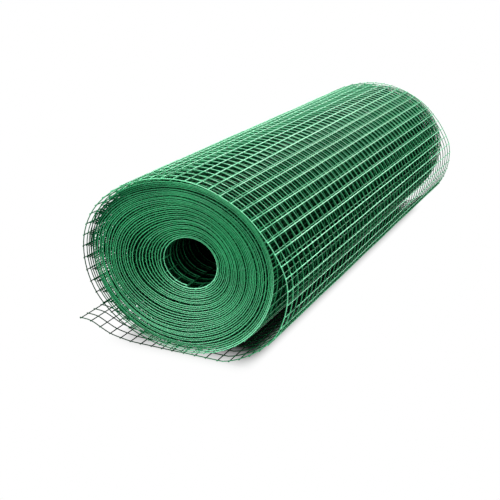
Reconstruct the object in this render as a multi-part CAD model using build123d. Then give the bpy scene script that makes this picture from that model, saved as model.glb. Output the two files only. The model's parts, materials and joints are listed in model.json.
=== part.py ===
"""Roll of green coated welded wire fencing, lying on its side with its last stretch unwound.

Millimetres, +Z up. The bore runs along Y and its middle is the origin. The front end faces -Y,
and the unwound stretch lies on the floor towards -X.
"""
from build123d import *
import os
from math import cos, pi, radians, sin, sqrt

# The mesh
mesh_pitch = 12.7
wire_dia = 1.1
weld_sink = 0.2
cells_across = 48

# The roll has settled a little wider than it is high. Its last turn stands off the packed turns at the
# right, and lies flat on the floor below the gap.
half_height = 91.5
last_left = 111.2
last_right = 116.3
last_flat = 30.0
packed_left = 110.2
packed_right = 101.8
bore_radius = 24.0
bore_right = 11.9
bore_up = 8.4

# The turns that show on the ends
groove_turns = 7
groove_width = 2.2
groove_depth = 2.0
end_land = 2.0

# The loose end
seat_gap = 0.2
flat_cells = 3
curl_slopes = (8.0, 10.0, 25.0, 26.0, 2.0)

roll_length = cells_across * mesh_pitch + wire_dia
half_length = roll_length / 2
floor_z = -bore_up - half_height
strip_thick = 2 * wire_dia - weld_sink
packed_height = half_height - strip_thick / 2


def round_outline(left, right, height):
    """A flat round face in the plane of an end, with a half ellipse of its own width on each side."""
    left_arc = EllipticalCenterArc((0, 0), left, height, start_angle=90, arc_size=180)
    right_arc = EllipticalCenterArc((0, 0), right, height, start_angle=270, arc_size=180)
    return Pos(-bore_right, -bore_up) * make_face([left_arc, right_arc])


def slack_outline(left, right, height):
    """The same with a flat at the bottom, from the middle to where the slack strip rises at the right."""
    left_arc = EllipticalCenterArc((0, 0), left, height, start_angle=90, arc_size=180)
    foot = Line((0, -height), (last_flat, -height))
    low_arc = EllipticalCenterArc((last_flat, 0), right - last_flat, height, start_angle=270, arc_size=90)
    high_arc = EllipticalCenterArc((0, 0), right, height, start_angle=0, arc_size=90)
    return Pos(-bore_right, -bore_up) * make_face([left_arc, foot, low_arc, high_arc])


def roll_body():
    """The wound strip as one solid: packed turns round the bore, and the last turn standing off them."""
    last_turn = slack_outline(last_left, last_right, half_height)
    inside = slack_outline(last_left - strip_thick, last_right - strip_thick, half_height - strip_thick)
    packed = round_outline(packed_left, packed_right, packed_height)
    ends = last_turn - (inside - packed) - Circle(bore_radius)
    return extrude(Plane.XZ * ends, amount=half_length, both=True)


def turn_groove():
    """The spiral gap between the packed turns, as a flat face in the plane of an end.

    The strip is wound clockwise as the front end shows it, and its last turn ends at the bottom.
    Its wires bend at the cross wires only, so the spiral has one straight side to a mesh cell.
    """
    first_radius = bore_radius + end_land

    def reach(turn, packed_size):
        return first_radius + (packed_size - end_land - first_radius) * turn / groove_turns

    def point(turn, sideways):
        angle = 2 * pi * (groove_turns - turn) - pi / 2
        packed_side = packed_right if cos(angle) > 0 else packed_left
        drift_share = turn / groove_turns
        x = (reach(turn, packed_side) + sideways) * cos(angle) - bore_right * drift_share
        z = (reach(turn, packed_height) + sideways) * sin(angle) - bore_up * drift_share
        return x, z

    turns = [0]
    while turns[-1] < groove_turns:
        turns.append(turns[-1] + mesh_pitch / (2 * pi * reach(turns[-1], packed_right)))
    outer = [point(turn, groove_width / 2) for turn in turns[:-1]]
    inner = [point(turn, -groove_width / 2) for turn in turns[:-1]]
    return make_face(Polyline(*outer, *reversed(inner), close=True))


def mesh_roll():
    """The roll with the spiral of its turns cut into both ends."""
    cut = extrude(turn_groove(), amount=-groove_depth)
    front = Plane.XZ.offset(half_length) * cut
    back = Plane.XZ.offset(groove_depth - half_length) * cut
    return roll_body() - front - back


def loose_bends():
    """Where the loose strip bends: its line-wire axis in XZ, from the roll out to the cut edge."""
    axis_height = 1.5 * wire_dia - weld_sink
    top = axis_height + wire_dia / 2
    touch_share = 1 - top / half_height
    seat = last_left * sqrt(1 - touch_share ** 2) + seat_gap
    x, z = -bore_right - seat, floor_z + axis_height
    points = [(x, z)]
    for slope in (0,) * flat_cells + curl_slopes:
        x -= mesh_pitch * cos(radians(slope))
        z += mesh_pitch * sin(radians(slope))
        points.append((x, z))
    return points


def loose_end():
    """The unwound stretch: line wires bent over the floor, welded to straight cross wires below."""
    points = loose_bends()
    path = Polyline(*[(x, 0, z) for x, z in points])
    section = Plane(origin=path @ 0, z_dir=path % 0) * Rectangle(wire_dia, wire_dia)
    line_wire = sweep(section, path=path, transition=Transition.RIGHT)
    first = mesh_pitch * cells_across / 2
    line_wires = [Pos(0, mesh_pitch * index - first, 0) * line_wire for index in range(cells_across + 1)]

    drop = wire_dia - weld_sink
    cross_wires = []
    for (x, z), slope in zip(points[1:], (0,) * flat_cells + curl_slopes):
        below = (x - drop * sin(radians(slope)), 0, z - drop * cos(radians(slope)))
        cross_wires.append(Pos(*below) * Rot(0, slope, 0) * Box(wire_dia, roll_length, wire_dia))
    return line_wires[0].fuse(*line_wires[1:], *cross_wires)


os.makedirs("parts", exist_ok=True)
export_step(mesh_roll(), "parts/mesh_roll.step")
export_step(loose_end(), "parts/loose_end.step")
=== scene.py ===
"""Looks of a roll of green coated welded wire fencing, laid out as a Blender add-on.

The strip of mesh is wound wire by wire from its inner end in the bore to its cut edge on the floor.
Line wires run along the strip and so round the roll, and cross wires lie on their outer side, along
the roll. Lengths are metres in the CAD frame: the bore runs along Y, and the front end faces -Y.
"""
import json
from math import cos, pi, radians, sin

import bpy
import numpy as np
from bpy.props import FloatProperty, FloatVectorProperty, IntProperty, PointerProperty
from bpy.types import Operator, Panel, PropertyGroup
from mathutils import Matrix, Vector


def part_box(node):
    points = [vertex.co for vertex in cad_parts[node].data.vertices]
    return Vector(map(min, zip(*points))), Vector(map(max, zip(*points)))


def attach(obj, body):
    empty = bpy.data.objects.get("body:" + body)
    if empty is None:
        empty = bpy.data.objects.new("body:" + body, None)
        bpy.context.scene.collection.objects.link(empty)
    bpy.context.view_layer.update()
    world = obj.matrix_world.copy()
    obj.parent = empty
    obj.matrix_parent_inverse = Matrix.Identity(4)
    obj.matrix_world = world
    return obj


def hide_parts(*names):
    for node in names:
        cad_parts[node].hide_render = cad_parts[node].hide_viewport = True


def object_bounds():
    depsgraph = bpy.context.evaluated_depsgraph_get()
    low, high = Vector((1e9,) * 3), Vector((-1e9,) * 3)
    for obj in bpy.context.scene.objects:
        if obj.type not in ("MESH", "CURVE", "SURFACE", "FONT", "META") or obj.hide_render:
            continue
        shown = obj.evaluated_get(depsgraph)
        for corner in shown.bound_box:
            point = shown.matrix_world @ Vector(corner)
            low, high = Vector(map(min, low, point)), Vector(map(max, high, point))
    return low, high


bl_info = {
    "name": "Wire fencing roll",
    "version": (1, 0, 0),
    "blender": (4, 5, 0),
    "location": "View3D > Sidebar > Fencing",
    "description": "Winds a roll of coated welded mesh with a loose end, and sets it on a pale floor",
    "category": "Add Mesh",
}

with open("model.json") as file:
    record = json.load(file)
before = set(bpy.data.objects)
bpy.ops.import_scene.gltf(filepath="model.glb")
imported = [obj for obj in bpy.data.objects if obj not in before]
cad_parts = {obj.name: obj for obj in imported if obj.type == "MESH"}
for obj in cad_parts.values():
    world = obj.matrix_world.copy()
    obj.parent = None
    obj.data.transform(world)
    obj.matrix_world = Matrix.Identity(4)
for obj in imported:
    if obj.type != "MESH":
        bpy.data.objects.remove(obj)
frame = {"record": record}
CAD_LOW, CAD_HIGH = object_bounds()
BORE = next(m for m in frame["record"]["mounts"] if m["name"] == "core_bore")
FLOOR_Z = CAD_LOW.z
SEED = 11

# The colour map of each piece, and the parts of it that its wires take
BAKE_MAP = "OFBake"
LINE_MAP, CROSS_MAP = (0.0, 0.0, 0.98, 0.60), (0.0, 0.62, 0.98, 0.98)
PACKED_END_MAP, PACKED_LINE_MAP = (0.0, 0.0, 0.98, 0.12), (0.0, 0.12, 0.98, 0.70)
PACKED_CROSS_MAP = (0.0, 0.72, 0.98, 0.98)
WHOLE_MAP = (0.0, 0.0, 0.98, 0.98)
POOL_COLUMNS = 60

# Sides of wires that are seen close to, thickness of the three-sided ones deep in the roll, as a multiple of
# the wire, and the share of its painted light that the inner side of a slack wire lacks, as painted shade
ROUND_SIDES = 8
DEEP_PLUMP = 1.7
INNER_SHADE = 0.7


def length_prop(name, default, description):
    """A length that a user can change."""
    return FloatProperty(name=name, description=description, default=default, min=0.0,
                         unit="LENGTH", precision=4)


def colour_prop(name, default, description):
    """A colour that a user can change, in linear light."""
    return FloatVectorProperty(name=name, description=description, default=default, size=3,
                               subtype="COLOR", min=0.0, max=1.0)


def share_prop(name, default, description):
    """A number from 0 to 1 that a user can change."""
    return FloatProperty(name=name, description=description, default=default, min=0.0, max=1.0,
                         subtype="FACTOR")


def power_prop(name, default, description):
    """The power of a lamp that a user can change."""
    return FloatProperty(name=name, description=description, default=default, min=0.0, unit="POWER")


class MeshSizes(PropertyGroup):
    """Sizes of the flat mesh before it is wound."""

    cell: length_prop("Cell round the roll", 0.0126, "Spacing of the cross wires along the strip")
    cell_along: length_prop("Cell along the roll", 0.0126, "Spacing of the line wires across the strip")
    cells_across: IntProperty(name="Cells across", description="Cells across the strip", default=48, min=1)
    wire: length_prop("Wire", 0.0011, "Diameter of a wire with its coat")
    weld_sink: length_prop("Weld sink", 0.0002, "How far crossing wires sink into each other")
    stub: length_prop("Cut stubs", 0.0009, "Length of line wire past the last cross wire at the cut edge")


class RollSizes(PropertyGroup):
    """Sizes of the wound roll, measured to the outside of its wires."""

    bore_height: length_prop("Bore height", 2 * BORE["dims"]["r_mm"] / 1000, "Height of the open middle")
    bore_width: length_prop("Bore width", 0.0560, "Width of the open middle, which has settled to an oval")
    packed_turns: IntProperty(name="Packed turns", description="Turns under the last one", default=33, min=8)
    packed_left: length_prop("Packed left", 0.1102, "Half width of the packed turns towards -X")
    packed_right: length_prop("Packed right", 0.1018, "Half width of the packed turns towards +X")
    packed_top: length_prop("Packed top", 0.0858, "Height of the packed turns over their middle")
    packed_low: length_prop("Packed low", 0.0929, "Depth of the packed turns under their middle")
    slack_top: length_prop("Slack top", 0.0006,
                           "How far the last turn stands off the packed turns at the upper right")
    slack_left: length_prop("Slack left", 0.0044, "The same at the left")
    slack_right: length_prop("Slack right", 0.0145, "The same at the right")
    slack_low: length_prop("Slack low right", 0.0195, "The same at the lower right, where the slack gathers")
    uneven: length_prop("Uneven ends", 0.0012, "How far single turns stand out or in at the ends")
    stagger: length_prop("Stagger", 0.0063,
                         "How far line wires of packed turns lie off each other along the roll")
    sway: length_prop("Sway", 0.0006, "How far slack wires wander in along the roll")
    stray: length_prop("Stray", 0.0006, "How far wires lie off their even spacing")


class CoatLook(PropertyGroup):
    """Colours of the plastic coat and of the steel in it, and the greens that paint light and shade on the
    coat.
    """

    green: colour_prop("Coat", (0.015, 0.320, 0.105), "Green of the coat")
    deep_green: colour_prop("Thick coat", (0.007, 0.160, 0.050), "Green where the coat lies thick")
    rubbed: colour_prop("Rubbed coat", (0.125, 0.600, 0.315), "Paler green where the coat is rubbed")
    # Painted light: the pale green painted where painted light is high, most on the last turn
    painted_light_green: colour_prop("Bleached coat", (0.245, 0.890, 0.500),
                          "Pale green of the last turn, where it lay open to the light")
    # Painted shade: the near-black green painted on wires that lie under others
    painted_shade: colour_prop("Shaded coat", (0.002, 0.026, 0.010), "Green of the wires that lie under others")
    dust: colour_prop("Dust", (0.330, 0.400, 0.330), "Dust on the upper sides")
    steel: colour_prop("Steel", (0.420, 0.430, 0.440), "Bare steel in the cut ends")
    roughness: share_prop("Roughness", 0.30, "Roughness of the clean coat")


class StageLook(PropertyGroup):
    """The floor, with the shadow painted on it under the roll, and the lamps."""

    floor: colour_prop("Floor", (0.860, 0.860, 0.860), "Colour of the floor")
    # Painted shadow: the dark colour that the seen floor is painted under the roll
    under: colour_prop("Floor under", (0.150, 0.150, 0.150),
                       "Colour of the floor under the roll, as it is seen")
    floor_size: length_prop("Floor size", 24.0, "Side of the square floor")
    sky: FloatProperty(name="Sky light", description="Strength of the even light from all round",
                       default=0.15, min=0.0)
    key: power_prop("Key lamp", 54.0, "Power of the lamp overhead")
    fill: power_prop("Fill lamp", 23.0, "Power of the lamp at the front")
    back: power_prop("Back lamp", 40.0, "Power of the lamp behind")


class Shade:
    """One socket of a node tree. Sums on it add Math nodes, and add() makes any other node."""

    def __init__(self, tree, socket=None):
        self.tree, self.socket = tree, socket

    def add(self, kind, settings=None, inputs=None, output=0):
        node = self.tree.nodes.new(kind)
        for name, value in (settings or {}).items():
            setattr(node, name, value)
        for name, value in (inputs or {}).items():
            if isinstance(value, Shade):
                self.tree.links.new(value.socket, node.inputs[name])
            else:
                node.inputs[name].default_value = value
        return Shade(self.tree, node.outputs[output] if len(node.outputs) else None)

    def maths(self, operation, first, second):
        return self.add("ShaderNodeMath", {"operation": operation}, {0: first, 1: second})

    def __add__(self, other):
        return self.maths("ADD", self, other)

    def __radd__(self, other):
        return self.maths("ADD", other, self)

    def __sub__(self, other):
        return self.maths("SUBTRACT", self, other)

    def __rsub__(self, other):
        return self.maths("SUBTRACT", other, self)

    def __mul__(self, other):
        return self.maths("MULTIPLY", self, other)

    def __rmul__(self, other):
        return self.maths("MULTIPLY", other, self)

    def __abs__(self):
        return self.maths("ABSOLUTE", self, 0.0)

    def between(self, low, high):
        """0 below low, 1 above high, and a smooth rise from one to the other."""
        return self.add("ShaderNodeMapRange", {"interpolation_type": "SMOOTHSTEP"},
                        {"Value": self, "From Min": low, "From Max": high})

    def mix(self, first, second):
        """The first colour where this value is 0, and the second where it is 1."""
        return self.add("ShaderNodeMix", {"data_type": "RGBA"}, {0: self, 6: first, 7: second}, output=2)

    def noise(self, place, scale, detail=3.0, roughness=0.5):
        return self.add("ShaderNodeTexNoise", {}, {"Vector": place, "Scale": scale, "Detail": detail,
                                                   "Roughness": roughness})


def opaque(colour):
    """A colour as four numbers."""
    return (*colour, 1.0)


def coated_wire(look):
    """Semi-gloss green plastic on steel wire: pooled at the welds, rubbed and dusty, bare at the cut ends,
    with painted light and painted shade in its green.
    """
    material = bpy.data.materials.new("green_coat")
    material.use_nodes = True
    tree = material.node_tree
    tree.nodes.clear()
    start = Shade(tree)

    place = start.add("ShaderNodeTexCoord", output="Object")
    tone = start.add("ShaderNodeAttribute", {"attribute_name": "tone"}, output="Fac")
    cell = start.add("ShaderNodeAttribute", {"attribute_name": "cell"}, output="Fac")
    cut = start.add("ShaderNodeAttribute", {"attribute_name": "cut"}, output="Fac")
    # Painted light and shade, from 0 on wires under others to 1 on the last turn
    painted_light = start.add("ShaderNodeAttribute", {"attribute_name": "painted_light"}, output="Fac")
    facing = start.add("ShaderNodeNewGeometry", output="Normal")
    upward = start.add("ShaderNodeSeparateXYZ", {}, {0: facing}, output="Z")

    patches = start.noise(place, 23.0)
    mottle = start.noise(place, 310.0, detail=4.0)
    scuffs = start.noise(place, 120.0, detail=6.0, roughness=0.7)
    grain = start.noise(place, 1900.0, detail=2.0)
    weld = abs(start.maths("FRACT", cell, 0.0) - 0.5).between(0.36, 0.47)
    rubbed = scuffs.between(0.56, 0.72) * (0.35 + 0.65 * tone)
    dusty = upward.between(0.35, 0.95) * patches.between(0.40, 0.75)
    bare = cut.between(0.80, 0.95)

    depth = 0.55 * patches + 0.45 * mottle
    colour = depth.between(0.30, 0.64).mix(opaque(look.deep_green), opaque(look.green))
    colour = (0.25 * weld).mix(colour, opaque(look.deep_green))
    colour = (0.36 * tone).mix(colour, opaque(look.rubbed))
    colour = (0.50 * rubbed).mix(colour, opaque(look.rubbed))
    # Painted light: paler green where painted light is high, a little more at the welds as a painted highlight
    colour = (painted_light.between(0.50, 1.0) * (0.80 + 0.20 * weld)).mix(colour, opaque(look.painted_light_green))
    # Painted shade: near-black green where painted light is low
    colour = painted_light.between(0.0, 0.50).mix(opaque(look.painted_shade), colour)
    colour = (0.08 * dusty).mix(colour, opaque(look.dust))
    colour = bare.mix(colour, opaque(look.steel))

    rough = look.roughness + 0.30 * (1.0 - painted_light) - 0.07 * weld + 0.16 * rubbed + 0.18 * dusty + 0.10 * mottle
    height = 0.5 * grain + 0.5 * mottle
    bumps = start.add("ShaderNodeBump", {}, {"Strength": 0.35, "Distance": 0.00012, "Height": height})
    coat = start.add("ShaderNodeBsdfPrincipled", {}, {
        "Base Color": colour, "Roughness": rough, "Metallic": bare, "Normal": bumps,
        "Specular IOR Level": 0.0, "Coat Weight": 0.9 * painted_light.between(0.15, 0.85), "Coat Roughness": 0.16})
    start.add("ShaderNodeOutputMaterial", {}, {"Surface": coat})
    return material


def wire_material():
    """The coat that every wire of the roll wears, made once."""
    return bpy.data.materials.get("green_coat") or coated_wire(bpy.context.scene.fencing_coat)


class StripLine:
    """The middle line of the line wires in the plane of the ends, from the bore to the cut edge."""

    # Step between the line's points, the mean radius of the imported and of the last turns, which sets how
    # many points they have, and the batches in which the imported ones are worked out
    fine_step = 0.0004
    packed_radius, last_radius = 0.066, 0.105
    batches = 60

    # A wide gap at the right, so many turns in and so many thick, and tight turns under the left rim
    wide_gap, wide_gap_in, wide_gap_thick = 1.5, 4.5, 0.6
    tight_gap, tight_turns, tight_rise = 0.30, 16, 5

    # Length of the loose end's flat, and the slopes of the cells after it
    loose_flat = 0.0381
    loose_slopes = (8.0, 10.0, 25.0, 26.0, 2.0)

    # From the low left corner of the roll's box to the middle of its packed turns
    middle_right, middle_up = 0.1112, 0.0950

    # Angles round the last turn, from the bottom by the left, at which its slack is set, the slack at the
    # very top and at the right shoulder, and the share of the turn, one part in so many, that smooths it
    slack_angles = (-90, -120, -150, -180, -210, -240, -270, -300,
                    -330, -345, -360, -375, -390, -420, -440, -450)
    slack_crown, slack_shoulder = 0.0022, 0.0027
    slack_smooth = 40

    # Turns from the end of the last one inwards, and the painted light and shade of the strip there: 0 paints
    # shade, 1 paints light
    under_places = (-0.3, 0.0, 0.1, 0.2, 0.5, 0.6, 0.75, 0.9, 1.0,
                    1.25, 1.5, 1.75, 2.0, 2.25, 2.5, 2.75, 3.0, 4.0)
    under_painted_light = (0.16, 0.35, 0.35, 0.95, 1.0, 0.85, 0.18, 0.18, 0.4,
                   0.46, 0.52, 0.1, 0.28, 0.08, 0.14, 0.05, 0.1, 0.0)

    # Painted light on wires of the ends and of the bore, as it falls off with cells from the nearer end, and
    # the painted sheen that line and cross wires lose or gain at the lower right
    line_end_light = ((0, 1, 2), (1.0, 0.08, 0.0))
    line_bore_light = ((0, 7), (0.42, 0.0))
    cross_end_light = ((0, 0.3, 2), (0.80, 0.18, 0.0))
    cross_bore_light = ((0, 2), (0.32, 0.08))
    line_sheen, cross_sheen = -0.45, 0.3

    # Lengths of the waves, along the roll, in which slack wires wander
    sway_waves = (0.23, 0.37)

    def __init__(self, mesh, roll):
        self.mesh, self.roll = mesh, roll
        self.inset = 1.5 * mesh.wire - mesh.weld_sink
        self.layer = 2 * mesh.wire - mesh.weld_sink
        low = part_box("mesh_roll")[0]
        self.middle = np.array([low.x + self.middle_right, low.z + self.middle_up])
        self.ground = FLOOR_Z + self.inset
        self.random = np.random.default_rng(SEED)
        packed, packed_turn = self.packed_points()
        last, last_turn = self.last_points()
        loose = self.loose_points(last[-1])
        points = np.concatenate([packed, last[1:], loose])
        turn = np.concatenate([packed_turn, last_turn[1:], roll.packed_turns + np.linspace(1, 2, len(loose))])
        step = np.hypot(*np.diff(points, axis=0).T)
        along = np.concatenate([[0.0], np.cumsum(step)])
        self.points, self.turn, self.along = points, turn, along
        self.cells = int((along[-1] - mesh.stub) / mesh.cell)
        self.first = along[-1] - mesh.stub - self.cells * mesh.cell
        knots = self.random.uniform(-1, 1, 2 * roll.packed_turns + 6)
        knots = np.convolve(knots, (0.25, 0.5, 0.25), "same") * 1.4
        self.end_shift = np.clip(np.interp(turn * 2, np.arange(len(knots)), knots), -1, 1) * roll.uneven
        knots = self.random.uniform(-1, 1, 2 * roll.packed_turns + 6)
        self.row_shift = np.interp(turn * 2, np.arange(len(knots)), knots) * roll.stagger
        self.row_shift *= np.clip((roll.packed_turns - turn) * 4, 0, 1)
        self.turn_tone = self.random.uniform(0, 1, 3 * roll.packed_turns + 9)

    def outline(self, angle, grow=0.0):
        """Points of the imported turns' outline, for the middles of their line wires."""
        roll = self.roll
        side = np.where(np.cos(angle) > 0, roll.packed_right, roll.packed_left) - self.inset + grow
        height = np.where(np.sin(angle) > 0, roll.packed_top, roll.packed_low) - self.inset + grow
        return self.middle + np.stack([side * np.cos(angle), height * np.sin(angle)], -1)

    def packed_points(self):
        """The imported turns, wound clockwise from the bore, with uneven gaps between them."""
        roll, turns = self.roll, self.roll.packed_turns
        count = int(turns * 2 * pi * self.packed_radius / self.fine_step)
        turn = np.linspace(0, turns, count)
        angle = 2 * pi * (turns - turn) - pi / 2
        knots = np.arange(turns + 1)
        size = self.random.uniform(0.10, 0.40, turns + 1)
        phase = self.random.uniform(0, 2 * pi, turns + 1)
        waves = self.random.integers(1, 4, turns + 1)
        share = np.empty(count)
        for some in np.array_split(np.arange(count), self.batches):
            gap = 1 + size * np.cos(waves * angle[some, None] + phase)
            right = np.clip(np.cos(angle[some, None] - radians(5)) * 1.6, 0, 1)
            in_gap = np.exp(-((knots - turns + self.wide_gap_in) / self.wide_gap_thick) ** 2)
            gap += self.wide_gap * right * in_gap
            left = np.clip(np.cos(angle[some, None] - radians(200)) * 1.4, 0, 1)
            gap -= self.tight_gap * left * np.clip((knots - turns + self.tight_turns) / self.tight_rise, 0, 1)
            reach = np.concatenate([np.zeros((len(some), 1)), np.cumsum((gap[:, 1:] + gap[:, :-1]) / 2, 1)], 1)
            whole = np.floor(turn[some]).astype(int).clip(0, turns - 1)
            rows = np.arange(len(some))
            part = turn[some] - whole
            share[some] = (reach[rows, whole] * (1 - part) + reach[rows, whole + 1] * part) / reach[:, -1]
        half = np.array([roll.bore_width, roll.bore_height]) / 2 + self.mesh.wire / 2
        bore = half * np.stack([np.cos(angle), np.sin(angle)], -1)
        return bore + share[:, None] * (self.outline(angle) - bore), turn

    def last_points(self):
        """The last turn, close to the others but for its slack, and flat on the floor at its end."""
        roll = self.roll
        count = int(2 * pi * self.last_radius / self.fine_step)
        round_share = np.linspace(0, 1, count)
        angle = -90 - 360 * round_share
        left = roll.slack_left
        slack = (0, 0.4 * left, left, 0.85 * left, left, 0.7 * left, self.slack_crown, roll.slack_top,
                 self.slack_shoulder, 0.5 * roll.slack_right, roll.slack_right, 0.9 * roll.slack_low,
                 roll.slack_low, 0.7 * roll.slack_low, 0.4 * roll.slack_low, self.layer)
        stand_off = np.interp(-angle, -np.array(self.slack_angles), slack)
        reach = count // self.slack_smooth
        padded = np.pad(stand_off, reach, "edge")
        smooth = np.hanning(2 * reach + 1)
        stand_off = np.convolve(padded, smooth / smooth.sum(), "valid")
        stand_off += (round_share * (self.layer - stand_off[-1])) - (1 - round_share) * stand_off[0]
        points = self.outline(np.radians(angle), stand_off)
        points[:, 1] = np.maximum(points[:, 1], self.ground)
        return points, roll.packed_turns + round_share

    def loose_points(self, start):
        """The loose end: flat on the floor, then curling up to its cut edge."""
        cell = self.mesh.cell
        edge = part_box("loose_end")[1].x
        flat = start[0] - edge + self.loose_flat
        bends = flat + cell * (np.arange(len(self.loose_slopes)) + 0.5)
        total = flat + cell * len(self.loose_slopes) + self.mesh.stub
        count = int(total / self.fine_step)
        way = np.linspace(0, total, count + 1)[1:]
        slope = np.radians(np.interp(way, [0, flat - cell / 2, *bends], [0, 0, *self.loose_slopes]))
        step = total / count
        return start + np.cumsum(step * np.stack([-np.cos(slope), np.sin(slope)], -1), 0)

    def at(self, cells):
        """The line at places along the strip, counted in cells.

        Gives points, outward directions, turns, and how far the ends and the rows are shifted.
        """
        way = self.first + np.asarray(cells) * self.mesh.cell

        def read(values, offset=0.0):
            return np.interp(way + offset, self.along, values)

        reach = self.mesh.cell / 4
        tangent = np.stack([read(v, reach) - read(v, -reach) for v in self.points.T], -1)
        tangent /= np.linalg.norm(tangent, axis=-1, keepdims=True)
        outward = np.stack([-tangent[:, 1], tangent[:, 0]], -1)
        point = np.stack([read(v) for v in self.points.T], -1)
        return point, outward, read(self.turn), read(self.end_shift), read(self.row_shift)

    def tone(self, turn):
        """How pale the strip is, from 0 to 1, which changes a few times in each turn."""
        return np.interp(turn * 3, np.arange(len(self.turn_tone)), self.turn_tone)

    def stray_along_roll(self, rows, cells):
        """How far line wires lie off their even rows, less at the ends."""
        wave = np.sin(2 * pi * cells / 17 + 2.3 * rows) + np.sin(2 * pi * cells / 41 + 5.1 * rows)
        from_end = np.minimum(rows, self.mesh.cells_across - rows)
        return self.roll.stray * wave / 2 * np.clip(from_end / 2, 0, 1)

    def stray_along_strip(self, cells):
        """The cells at which cross wires lie, a little off their even spacing."""
        return cells + self.roll.stray / self.mesh.cell * (np.sin(1.9 * cells) + np.sin(0.61 * cells + 1)) / 2

    def cell_at(self, turn):
        """The first whole cell at or past a turn."""
        return int(np.ceil((np.interp(turn, self.turn, self.along) - self.first) / self.mesh.cell))

    def facing(self, turn, degrees):
        """1 where a turn faces an angle in the plane of the ends, down to 0 at a right angle to it."""
        angle = 2 * pi * (self.roll.packed_turns - turn) - pi / 2
        return np.clip(np.cos(angle - radians(degrees)), 0, 1)

    def painted_light(self, turn, sheen, bore_light=0.0):
        """How much painted light the strip gets, from 0, painted shade deep in the roll, to 1 on its last
        turn.

        Sheen is the painted sheen that wires gain or lose at the lower right, where light from above meets
        cross wires and slides along line wires. Bore light is the painted light that reaches the strip's inner
        end.
        """
        level = np.interp(self.roll.packed_turns + 1 - turn, self.under_places, self.under_painted_light)
        in_bore = bore_light * np.interp(turn, (0.8, 2.0), (1.0, 0.0)) * self.facing(turn, -125)
        return np.clip(level * (1 + sheen * self.facing(turn, -20) ** 2) + in_bore, 0, 1)

    def end_painted_light(self, turn):
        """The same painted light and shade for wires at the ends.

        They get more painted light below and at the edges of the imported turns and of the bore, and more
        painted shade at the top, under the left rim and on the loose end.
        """
        under = self.roll.packed_turns + 1 - turn
        rim = np.interp(under, (0, 4, 16), (1.7, 1.0, 0.0))
        outer = np.interp(under, (4, 8), (0.30, 0.0))
        edge = np.interp(under, (0.9, 1.1, 2.0, 3.0), (0.0, 1.0, 1.0, 0.0))
        bore_edge = np.interp(turn, (0.9, 1.4), (1.0, 0.0))
        level = 0.51 + 0.22 * self.facing(turn, -90) - 0.22 * rim * self.facing(turn, 165)
        level += bore_edge * (0.14 + 0.30 * self.facing(turn, -50))
        level += 0.25 * edge * self.facing(turn, -50) - 0.10 * self.facing(turn, 75)
        level = np.maximum(level - outer * self.facing(turn, 205), 0.10)
        return level * np.interp(under, (-0.15, 0.0), (0.35, 1.0))

    def sway(self, turn, cells, along_roll):
        """How far a slack wire wanders in, at places along the strip and along the roll."""
        loose = np.clip(turn - self.roll.packed_turns, 0, 1)
        loose = np.clip(4 * loose, 0, 1) * np.where(turn > self.roll.packed_turns + 0.999, 0.0, 1.0)
        first, second = (along_roll * 2 * pi / length for length in self.sway_waves)
        wave = np.sin(first + 0.21 * cells) * np.sin(second - 0.13 * cells + 1)
        return -self.roll.sway * loose * (1 + wave) / 2


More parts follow.
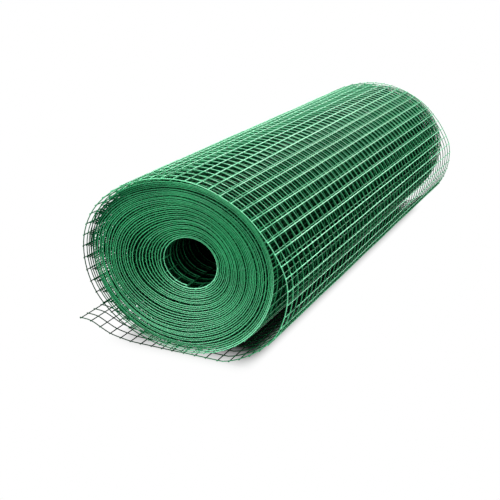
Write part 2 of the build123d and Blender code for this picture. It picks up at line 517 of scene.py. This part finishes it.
class WireMesh:
    """Gathers wires as arrays of points and joins them into one mesh with a map for their colours."""

    # Shares of its column and row of the map that a wire takes, and the spot where all wires' ends lie
    column_share, row_share = 0.98, 0.88
    end_spot, end_size = 0.992, 0.005

    def __init__(self):
        self.points, self.loops, self.sizes, self.smooth, self.places = [], [], [], [], []
        self.tone, self.cell, self.cut, self.painted_light = [], [], [], []
        self.total = 0

    def add_faces(self, faces, places, smooth):
        self.loops.append(faces.reshape(-1) + self.total)
        self.places.append(places.reshape(-1, 2))
        self.sizes.append(np.full(faces.reshape(-1, faces.shape[-1]).shape[0], faces.shape[-1]))
        self.smooth.append(np.full(len(self.sizes[-1]), smooth))

    def add_wires(self, axis, up, side, radius, sides, cell, tone, painted_light, area,
                  cut=0.0, columns=1, inner_shade=0.0):
        """Round wires along axis, an array of wires by rings by three, with up and side across it.

        Area is the part of the map that they take, in so many columns, by its low and high corners.
        Inner shade is the share of its painted light that the side away from up lacks, as painted shade.
        """
        wires, rings = axis.shape[:2]
        turn = 2 * pi * np.arange(sides) / sides
        ring = np.cos(turn)[:, None] * up[..., None, :] + np.sin(turn)[:, None] * side[..., None, :]
        radius = np.broadcast_to(radius, (wires, rings))
        points = axis[..., None, :] + radius[..., None, None] * ring
        shape = (wires, rings, sides)
        number = np.arange(wires * rings * sides).reshape(shape)
        here, after = number, np.roll(number, -1, axis=2)
        quads = np.stack([here[:, :-1], here[:, 1:], after[:, 1:], after[:, :-1]], -1)

        low, high = np.array(area[:2]), np.array(area[2:])
        rows = -(-wires // columns)
        wire_number = np.arange(wires)
        column, row = wire_number // rows, wire_number % rows
        u = (column[:, None] + self.column_share * np.linspace(0, 1, rings)) / columns
        v = (row[:, None] + self.row_share * np.arange(sides + 1) / sides) / rows
        u = np.broadcast_to(u[:, :, None], (wires, rings, sides + 1))
        v = np.broadcast_to(v[:, None, :], (wires, rings, sides + 1))
        grid = low + (high - low) * np.stack([u, v], -1)
        places = np.stack([grid[:, :-1, :-1], grid[:, 1:, :-1], grid[:, 1:, 1:], grid[:, :-1, 1:]], -2)
        self.add_faces(quads, places, True)
        ends = np.stack([number[:, 0, ::-1], number[:, -1, :]], 1)
        spot = self.end_spot + self.end_size * np.stack([np.cos(turn), np.sin(turn)], -1)
        self.add_faces(ends, np.broadcast_to(spot, (*ends.shape, 2)), False)
        self.points.append(points.reshape(-1, 3))
        # Painted shade on the side of each wire away from up
        shade = 1 - inner_shade * (1 - np.cos(turn)) / 2
        for store, value, share in ((self.tone, tone, 1), (self.cell, cell, 1), (self.cut, cut, 1),
                                    (self.painted_light, painted_light, shade)):
            value = np.asarray(value, float)
            value = value.reshape(value.shape + (1,) * (3 - value.ndim)) if value.ndim else value
            store.append(np.broadcast_to(value * share, shape).reshape(-1))
        self.total += points.size // 3

    def make(self, name, node):
        """Joins the wires into an object that stands for a CAD node."""
        mesh = bpy.data.meshes.new(name)
        points, loops, sizes = (np.concatenate(x) for x in (self.points, self.loops, self.sizes))
        mesh.vertices.add(len(points))
        mesh.vertices.foreach_set("co", points.astype(np.float32).ravel())
        mesh.loops.add(len(loops))
        mesh.loops.foreach_set("vertex_index", loops.astype(np.int32))
        mesh.polygons.add(len(sizes))
        mesh.polygons.foreach_set("loop_start", np.concatenate([[0], np.cumsum(sizes)[:-1]]).astype(np.int32))
        mesh.polygons.foreach_set("use_smooth", np.concatenate(self.smooth))
        mesh.update(calc_edges=True)
        bake_map = mesh.uv_layers.new(name=BAKE_MAP)
        bake_map.uv.foreach_set("vector", np.concatenate(self.places).astype(np.float32).ravel())
        for key in ("tone", "cell", "cut", "painted_light"):
            values = np.concatenate(getattr(self, key)).astype(np.float32)
            mesh.attributes.new(key, "FLOAT", "POINT").data.foreach_set("value", values)
        if mesh.validate():
            raise RuntimeError(f"{name} has faces that Blender had to mend")
        mesh.materials.append(wire_material())
        piece = bpy.data.objects.new(name, mesh)
        bpy.context.scene.collection.objects.link(piece)
        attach(piece, "root")
        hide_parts(node)


def in_space(flat, along_roll):
    """Points or directions in the plane of the ends, set at places along the roll."""
    flat, along_roll = np.broadcast_arrays(flat, np.asarray(along_roll)[..., None])
    return np.stack([flat[..., 0], along_roll[..., 0], flat[..., 1]], -1)


def line_wires(gathered, line, first, last, cuts, rows, sides, area,
               cut_end=False, plump=1.0, inner_shade=0.0):
    """Line wires over a stretch of the strip, with each cell in so many cuts.

    Rows numbers the wires across the strip, and plump times the wire is their thickness.
    """
    mesh = line.mesh
    cells = np.linspace(first, last, (last - first) * cuts + 1)
    if cut_end:
        cells = np.append(cells, last + np.array([0.75, 1.0]) * mesh.stub / mesh.cell)
    point, outward, turn, shift, stagger = line.at(cells)
    rows = np.asarray(rows)
    from_end = np.minimum(rows, mesh.cells_across - rows)[:, None]
    shift = shift + stagger * np.clip(from_end, 0, 1)
    along_roll = (rows[:, None] - mesh.cells_across / 2) * mesh.cell_along + shift
    along_roll = along_roll + line.stray_along_roll(rows[:, None], cells)
    sway = line.sway(turn, cells, along_roll)
    axis = in_space(point + sway[..., None] * outward, along_roll)
    up = in_space(np.broadcast_to(outward, (len(rows), *outward.shape)), np.zeros(along_roll.shape))
    side = np.broadcast_to([0.0, 1.0, 0.0], up.shape)
    radius = np.full(len(cells), plump * mesh.wire / 2)
    cut = np.zeros((1, len(cells)))
    if cut_end:
        radius[-1] *= 0.80
        cut[0, -1] = 1.0
    tone = 0.4 * line.random.uniform(0, 1, (len(rows), 1)) + 0.6 * line.tone(turn)
    # Painted light and shade of each line wire, from the ends, the bore and the painted sheen
    at_end = line.end_painted_light(turn) * np.interp(from_end, *line.line_end_light)
    bore_light = np.interp(from_end, *line.line_bore_light)
    painted_light = np.maximum(line.painted_light(turn, line.line_sheen * np.clip(from_end / 2, 0, 1), bore_light), at_end)
    gathered.add_wires(axis, up, side, radius, sides, cells[None], tone, painted_light, area, cut=cut,
                       inner_shade=inner_shade)


def cross_wires(gathered, line, first, last, rings, sides, area, columns, inner_shade=0.0):
    """Cross wires on the outer side of the line wires, one at each whole cell from first to last."""
    mesh = line.mesh
    cells = line.stray_along_strip(np.arange(first, last + 1))
    point, outward, turn, shift, _ = line.at(cells)
    half = mesh.cells_across * mesh.cell_along / 2 + mesh.wire / 2
    places = np.linspace(-half, half, rings)
    near = np.array([0.0, 0.35 * mesh.wire, 2 * mesh.cell_along])
    places = np.concatenate([near - half, places[1:-1], half - near[::-1]])
    along_roll = places + shift[:, None]
    sway = line.sway(turn[:, None], cells[:, None], along_roll)
    lift = mesh.wire - mesh.weld_sink + sway
    axis = in_space(point[:, None] + lift[..., None] * outward[:, None], along_roll)
    up = in_space(np.broadcast_to(outward[:, None], (*along_roll.shape, 2)), np.zeros(along_roll.shape))
    side = np.cross(up, [0.0, 1.0, 0.0])
    radius = np.full(len(places), mesh.wire / 2)
    radius[[0, -1]] *= 0.55
    tone = line.random.uniform(0, 1, (len(cells), 1))
    from_end = (half - abs(places)) / mesh.cell_along
    # Painted light and shade of each cross wire, from the ends, the bore and the painted sheen
    at_end = line.end_painted_light(turn)[:, None] * np.interp(from_end, *line.cross_end_light)
    bore_light = np.interp(from_end, *line.cross_bore_light)
    painted_light = np.maximum(line.painted_light(turn[:, None], line.cross_sheen, bore_light), at_end)
    gathered.add_wires(axis, up, side, radius, sides, places[None] / mesh.cell_along, tone, painted_light, area,
                       columns=columns, inner_shade=inner_shade)


def coat_pools(line, first, last, name, node):
    """Beads of pooled coat in the corners of each weld, over a stretch of the strip."""
    mesh = line.mesh
    cells = line.stray_along_strip(np.arange(first, last + 1))
    point, outward, turn, shift, _ = line.at(cells)
    rows = np.arange(mesh.cells_across + 1)
    along_roll = ((rows - mesh.cells_across / 2) * mesh.cell_along)[None] + shift[:, None]
    along_roll += line.stray_along_roll(rows[None], cells[:, None])
    sway = line.sway(turn[:, None], cells[:, None], along_roll)
    lift = (mesh.wire - mesh.weld_sink) / 2 + sway
    centre = in_space(point[:, None] + lift[..., None] * outward[:, None], along_roll).reshape(-1, 1, 3)
    up = in_space(np.broadcast_to(outward[:, None], (*along_roll.shape, 2)), np.zeros(along_roll.shape))
    up = up.reshape(-1, 1, 3)
    rise = np.array([-0.50, -0.32, 0.32, 0.50]) * mesh.wire
    width = np.array([0.25, 0.74, 0.74, 0.25]) * mesh.wire
    size = line.random.uniform(0.90, 1.08, (len(centre), 1))
    axis = centre + rise[None, :, None] * up
    gathered = WireMesh()
    across = np.broadcast_to([0.0, 1.0, 0.0], axis.shape)
    side = np.cross(np.broadcast_to(up, axis.shape), across)
    tone = line.random.uniform(0, 1, (len(centre), 1))
    # Painted light and shade of the pooled coat, as on the cross wires
    painted_light = np.repeat(line.painted_light(turn, line.cross_sheen), len(rows))[:, None]
    gathered.add_wires(axis, across, side, width * size, 6, 0.0, tone, painted_light, WHOLE_MAP, columns=POOL_COLUMNS)
    gathered.make(name, node)


def strip_line():
    """The wound line for the sizes now set."""
    scene = bpy.context.scene
    return StripLine(scene.fencing_mesh, scene.fencing_roll)


class FENCING_OT_packed_turns(Operator):
    """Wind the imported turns, from the bore out to the last turn but one"""

    bl_idname = "fencing.packed_turns"
    bl_label = "Packed turns"

    def execute(self, context):
        line = strip_line()
        turns = line.roll.packed_turns
        across = line.mesh.cells_across
        # Name, last turn, cuts to a cell, sides of a wire that only shows through others
        bands = (("core_turns", 5, 2, 6), ("inner_turns", 14, 1, 3), ("middle_turns", 22, 1, 3),
                 ("outer_turns", turns - 5, 1, 3), ("rim_turns", turns, 1, 6))
        ends = [0, 1, across - 1, across]
        inside = list(range(2, across - 1))
        first = 0
        for name, last_turn, cuts, sides in bands:
            last = line.cell_at(last_turn)
            gathered = WireMesh()
            line_wires(gathered, line, first, last, 2, ends, 6, PACKED_END_MAP)
            line_wires(gathered, line, first, last, cuts, inside, sides, PACKED_LINE_MAP,
                       plump=1.0 if sides > 3 else DEEP_PLUMP)
            cross_wires(gathered, line, first, last - 1, 2, 5, PACKED_CROSS_MAP, columns=3)
            gathered.make(name, "mesh_roll")
            first = last
        return {"FINISHED"}


class FENCING_OT_last_turn(Operator):
    """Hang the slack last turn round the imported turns, with the coat pooled at its welds"""

    bl_idname = "fencing.last_turn"
    bl_label = "Last turn"

    def execute(self, context):
        line = strip_line()
        turns = line.roll.packed_turns
        first, last = line.cell_at(turns), line.cell_at(turns + 1)
        gathered = WireMesh()
        rows = range(line.mesh.cells_across + 1)
        line_wires(gathered, line, first, last, 2, rows, ROUND_SIDES, LINE_MAP, inner_shade=INNER_SHADE)
        cross_wires(gathered, line, first, last - 1, 33, ROUND_SIDES, CROSS_MAP, columns=1,
                    inner_shade=INNER_SHADE)
        gathered.make("last_turn", "mesh_roll")
        coat_pools(line, first, last - 1, "last_turn_welds", "mesh_roll")
        return {"FINISHED"}


class FENCING_OT_loose_end(Operator):
    """Lay the loose end on the floor, with the coat pooled at its welds and steel in its cut ends"""

    bl_idname = "fencing.loose_end"
    bl_label = "Loose end"

    def execute(self, context):
        line = strip_line()
        first, last = line.cell_at(line.roll.packed_turns + 1), line.cells
        gathered = WireMesh()
        rows = range(line.mesh.cells_across + 1)
        line_wires(gathered, line, first, last, 3, rows, ROUND_SIDES, LINE_MAP, cut_end=True,
                   inner_shade=INNER_SHADE)
        cross_wires(gathered, line, first, last, 25, ROUND_SIDES, CROSS_MAP, columns=1,
                    inner_shade=INNER_SHADE)
        gathered.make("loose_strip", "loose_end")
        coat_pools(line, first, last, "loose_strip_welds", "loose_end")
        return {"FINISHED"}


class FENCING_OT_stage(Operator):
    """Set the pale floor, the even light, three soft lamps and the camera"""

    bl_idname = "fencing.stage"
    bl_label = "Stage"

    # Where the floor, as it is seen, starts to turn white and where it is white: to the right of the roll's
    # bore, to the left of it, and along it from its middle. Inside them the seen floor is dark with a painted
    # shadow.
    white_right, white_left, white_along = (0.047, 0.070), (0.060, 0.108), (0.258, 0.322)

    # The camera's place in metres, its swing from +Y and its dip in degrees, and its lens in millimetres
    camera_place = (0.40927, -1.02660, 0.30954)
    camera_swing, camera_dip = -25.51, 19.68
    camera_sensor, camera_lens = 36.0, 66.24

    def execute(self, context):
        look = context.scene.fencing_stage
        self.lay_floor(look)
        self.set_sky(context.scene, look)
        self.hang_lamp("key_lamp", look.key, size=1.0, place=(-0.15, 0.0, 2.0))
        self.hang_lamp("fill_lamp", look.fill, size=1.2, place=(-0.8, -1.7, 0.3))
        self.hang_lamp("back_lamp", look.back, size=1.4, place=(0.1, 2.1, 1.5))
        self.aim_camera(context.scene)
        context.scene.view_settings.view_transform = "Standard"
        return {"FINISHED"}

    def seen(self, start):
        """1 for rays that show the stage itself: from the camera, by a mirror or through glass."""
        kinds = ("Is Camera Ray", "Is Glossy Ray", "Is Transmission Ray")
        camera, glossy, through = (start.add("ShaderNodeLightPath", output=kind) for kind in kinds)
        return start.maths("MAXIMUM", camera, start.maths("MAXIMUM", glossy, through))

    def lay_floor(self, look):
        """A matt floor. Where it is seen, it is white away from the roll, and under it a painted shadow makes
        it dark.
        """
        material = bpy.data.materials.new("pale_floor")
        material.use_nodes = True
        tree = material.node_tree
        tree.nodes.clear()
        start = Shade(tree)
        place = start.add("ShaderNodeTexCoord", output="Object")
        cloud = start.noise(place, 3.0)
        pale = tuple(min(1.0, 1.04 * x) for x in look.floor)
        colour = cloud.between(0.3, 0.7).mix(opaque(look.floor), opaque(pale))
        matt = start.add("ShaderNodeBsdfDiffuse", {}, {"Color": colour})
        across = start.add("ShaderNodeSeparateXYZ", {}, {0: place}, output="X")
        along = abs(start.add("ShaderNodeSeparateXYZ", {}, {0: place}, output="Y"))
        # Painted shadow mask: 1 under the roll, down to 0 beside and in front of it
        beside = (1.0 - across.between(*self.white_right)) * (1.0 - (0.0 - across).between(*self.white_left))
        painted_shadow_mask = beside * (1.0 - along.between(*self.white_along))
        # Painted shadow: the seen floor takes the dark under colour where the mask is 1
        deep = start.add("ShaderNodeBsdfDiffuse", {}, {"Color": painted_shadow_mask.mix(colour, opaque(look.under))})
        glow = start.add("ShaderNodeEmission", {}, {"Color": (1.0, 1.0, 1.0, 1.0), "Strength": 1.0})
        white = start.add("ShaderNodeMixShader", {}, {0: painted_shadow_mask, 1: glow, 2: deep})
        surface = start.add("ShaderNodeMixShader", {}, {0: self.seen(start), 1: matt, 2: white})
        start.add("ShaderNodeOutputMaterial", {}, {"Surface": surface})

        half = look.floor_size / 2
        mesh = bpy.data.meshes.new("floor")
        mesh.from_pydata([(-half, -half, FLOOR_Z), (half, -half, FLOOR_Z), (half, half, FLOOR_Z),
                          (-half, half, FLOOR_Z)], [], [(0, 1, 2, 3)])
        mesh.materials.append(material)
        floor = bpy.data.objects.new("floor", mesh)
        bpy.context.scene.collection.objects.link(floor)

    def set_sky(self, scene, look):
        """Even light from all round, which is seen as white."""
        scene.world = bpy.data.worlds.new("studio")
        scene.world.use_nodes = True
        tree = scene.world.node_tree
        tree.nodes.clear()
        start = Shade(tree)
        strength = look.sky + (1.0 - look.sky) * self.seen(start)
        sky = start.add("ShaderNodeBackground", {}, {"Color": (1.0, 1.0, 1.0, 1.0), "Strength": strength})
        start.add("ShaderNodeOutputWorld", {}, {"Surface": sky})

    def hang_lamp(self, name, power, size, place):
        """A square lamp that faces the roll's middle."""
        lamp = bpy.data.lights.new(name, "AREA")
        lamp.energy, lamp.size = power, size
        holder = bpy.data.objects.new(name, lamp)
        holder.location = place
        holder.rotation_mode = "QUATERNION"
        holder.rotation_quaternion = (Vector() - Vector(place)).to_track_quat("-Z", "Y")
        bpy.context.scene.collection.objects.link(holder)

    def aim_camera(self, scene):
        """The camera, near the roll's front end and to its right."""
        camera = bpy.data.objects.new("camera", bpy.data.cameras.new("camera"))
        camera.data.sensor_width, camera.data.lens = self.camera_sensor, self.camera_lens
        camera.data.clip_end = 100.0
        camera.location = self.camera_place
        swing, dip = radians(self.camera_swing), radians(self.camera_dip)
        ahead = Vector((sin(swing) * cos(dip), cos(swing) * cos(dip), -sin(dip)))
        camera.rotation_mode = "QUATERNION"
        camera.rotation_quaternion = ahead.to_track_quat("-Z", "Y")
        scene.collection.objects.link(camera)
        scene.camera = camera


class FENCING_PT_roll(Panel):
    """The pieces of the roll and their sizes"""

    bl_idname = "FENCING_PT_roll"
    bl_label = "Wire fencing roll"
    bl_space_type = "VIEW_3D"
    bl_region_type = "UI"
    bl_category = "Fencing"

    def draw(self, context):
        for operator in OPERATORS:
            self.layout.operator(operator.bl_idname)
        for key, (group, title) in SETTINGS.items():
            box = self.layout.box()
            box.label(text=title)
            for name in group.__annotations__:
                box.prop(getattr(context.scene, key), name)


OPERATORS = (FENCING_OT_packed_turns, FENCING_OT_last_turn, FENCING_OT_loose_end, FENCING_OT_stage)
SETTINGS = {
    "fencing_mesh": (MeshSizes, "Mesh"),
    "fencing_roll": (RollSizes, "Roll"),
    "fencing_coat": (CoatLook, "Coat"),
    "fencing_stage": (StageLook, "Stage"),
}


def register():
    for key, (group, title) in SETTINGS.items():
        bpy.utils.register_class(group)
        setattr(bpy.types.Scene, key, PointerProperty(name=title, type=group))
    for thing in (*OPERATORS, FENCING_PT_roll):
        bpy.utils.register_class(thing)


def unregister():
    for thing in (FENCING_PT_roll, *reversed(OPERATORS)):
        bpy.utils.unregister_class(thing)
    for key, (group, title) in reversed(SETTINGS.items()):
        delattr(bpy.types.Scene, key)
        bpy.utils.unregister_class(group)


def main():
    register()
    bpy.ops.fencing.packed_turns()
    bpy.ops.fencing.last_turn()
    bpy.ops.fencing.loose_end()
    bpy.ops.fencing.stage()


if __name__ == "__main__":
    main()
